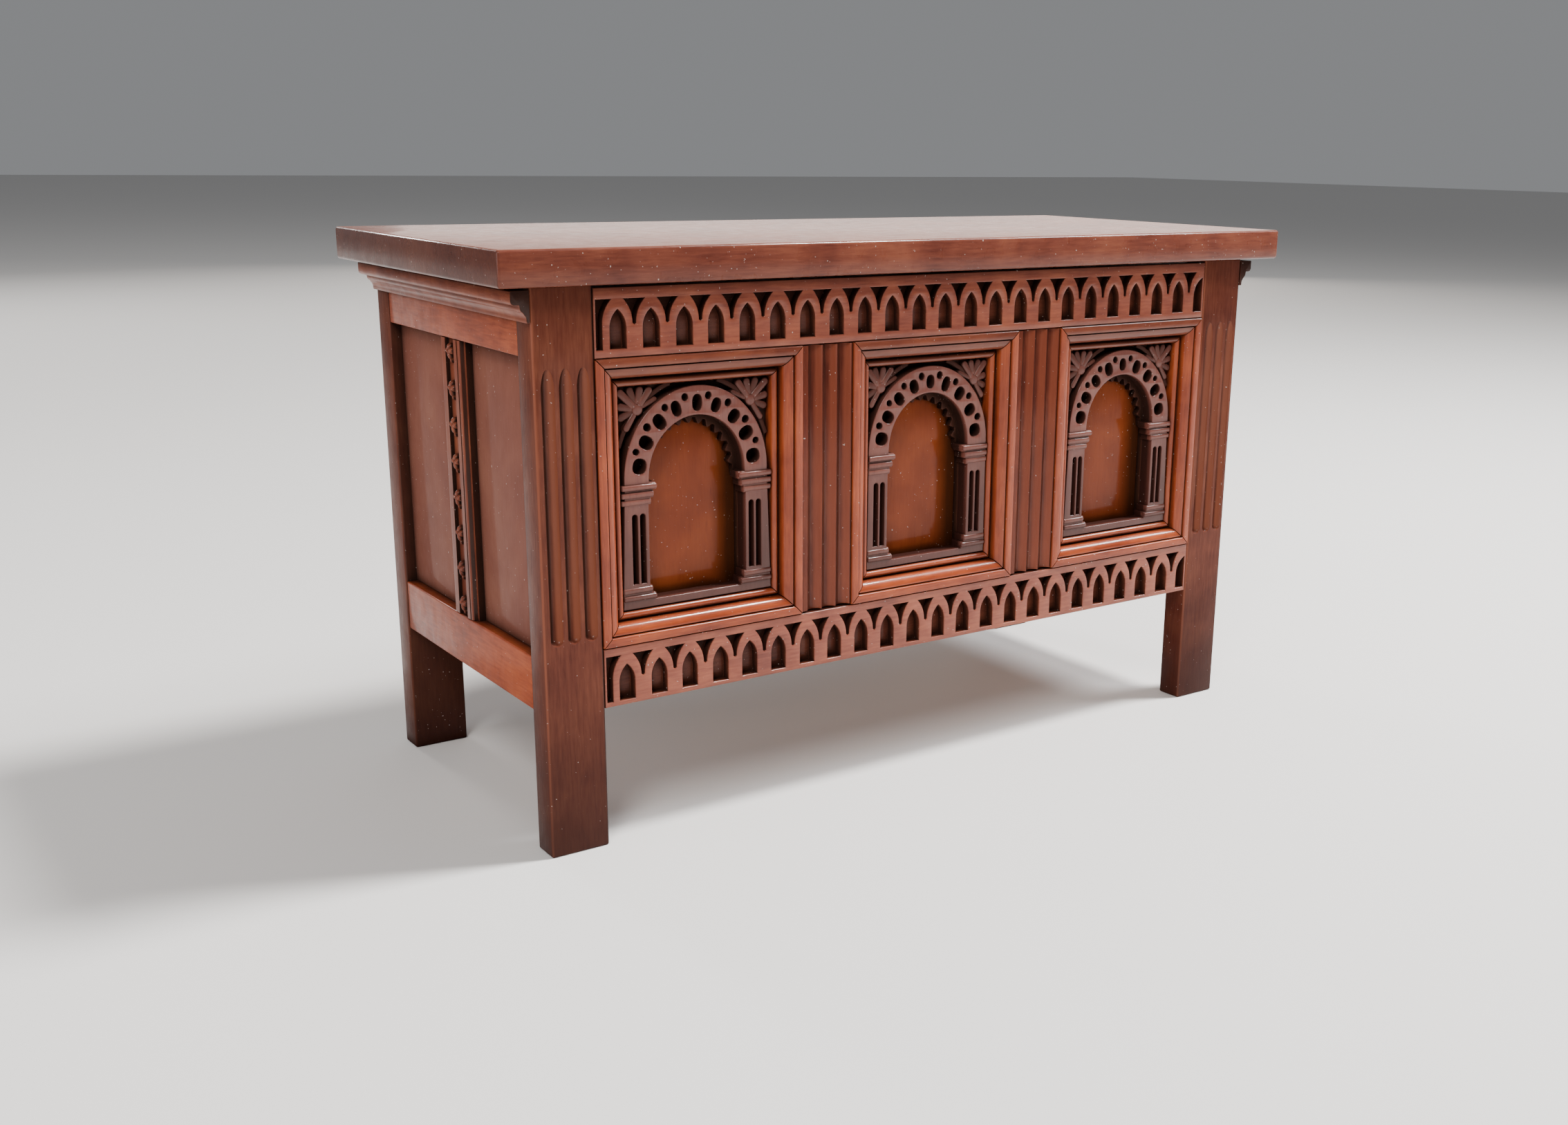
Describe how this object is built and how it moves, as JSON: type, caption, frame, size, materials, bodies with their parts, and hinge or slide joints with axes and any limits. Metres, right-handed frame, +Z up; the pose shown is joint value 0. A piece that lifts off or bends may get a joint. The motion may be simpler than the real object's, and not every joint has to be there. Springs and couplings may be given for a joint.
{
  "type": "miniature coffer",
  "caption": "Dolls' house coffer on plank legs with an arcaded front, bead-carved sides and an overhanging lid hinged at the back.",
  "frame": {"origin": "centre of the footprint, on the surface the feet stand on", "axes": "+X right seen from the front, -Y front, +Z up"},
  "size_m": [0.105, 0.0452, 0.0613],
  "materials": {
    "frame_wood": "satin lacquer over red-brown stain",
    "panel_wood": "satin lacquer, orange-brown with darker edges",
    "carved_wood": "satin lacquer over dark red-brown stain",
    "inside_wood": "bare matt",
    "brass": "aged satin",
    "lid_wood": "satin-gloss lacquer over red-brown stain"
  },
  "bodies": {
    "carcass": {"leg_front_left": "frame_wood", "leg_front_right": "frame_wood", "leg_back_left": "frame_wood", "leg_back_right": "frame_wood", "front_top_rail": "frame_wood", "front_bottom_rail": "frame_wood", "front_muntin_left": "frame_wood", "front_muntin_right": "frame_wood", "moulding_left_top": "frame_wood", "moulding_left_bottom": "frame_wood", "moulding_left_left": "frame_wood", "moulding_left_right": "frame_wood", "moulding_centre_top": "frame_wood", "moulding_centre_bottom": "frame_wood", "moulding_centre_left": "frame_wood", "moulding_centre_right": "frame_wood", "moulding_right_top": "frame_wood", "moulding_right_bottom": "frame_wood", "moulding_right_left": "frame_wood", "moulding_right_right": "frame_wood", "side_left_top_rail": "frame_wood", "side_left_bottom_rail": "frame_wood", "side_left_muntin": "frame_wood", "side_right_top_rail": "frame_wood", "side_right_bottom_rail": "frame_wood", "side_right_muntin": "frame_wood", "cornice_left": "frame_wood", "cornice_right": "frame_wood", "back_top_rail": "frame_wood", "back_bottom_rail": "frame_wood", "panel_left": "panel_wood", "panel_centre": "panel_wood", "panel_right": "panel_wood", "side_left_panel_front": "panel_wood", "side_left_panel_back": "panel_wood", "side_right_panel_front": "panel_wood", "side_right_panel_back": "panel_wood", "arch_left": "carved_wood", "arch_centre": "carved_wood", "arch_right": "carved_wood", "back_panel": "inside_wood", "floor_board": "inside_wood", "hinge_left_body_leaf": "brass", "hinge_left_pin": "brass", "hinge_left_body_nail_a": "brass", "hinge_left_body_nail_b": "brass", "hinge_right_body_leaf": "brass", "hinge_right_pin": "brass", "hinge_right_body_nail_a": "brass", "hinge_right_body_nail_b": "brass"},
    "lid": {"lid_board": "lid_wood", "hinge_left_lid_leaf": "brass", "hinge_right_lid_leaf": "brass"}
  },
  "joints": [
    {"name": "lid_hinge", "type": "hinge", "parent": "carcass", "child": "lid", "pos_m": [0, 0.02202, 0.05714], "axis": [-1, 0, 0], "range_deg": [0, 100]}
  ]
}
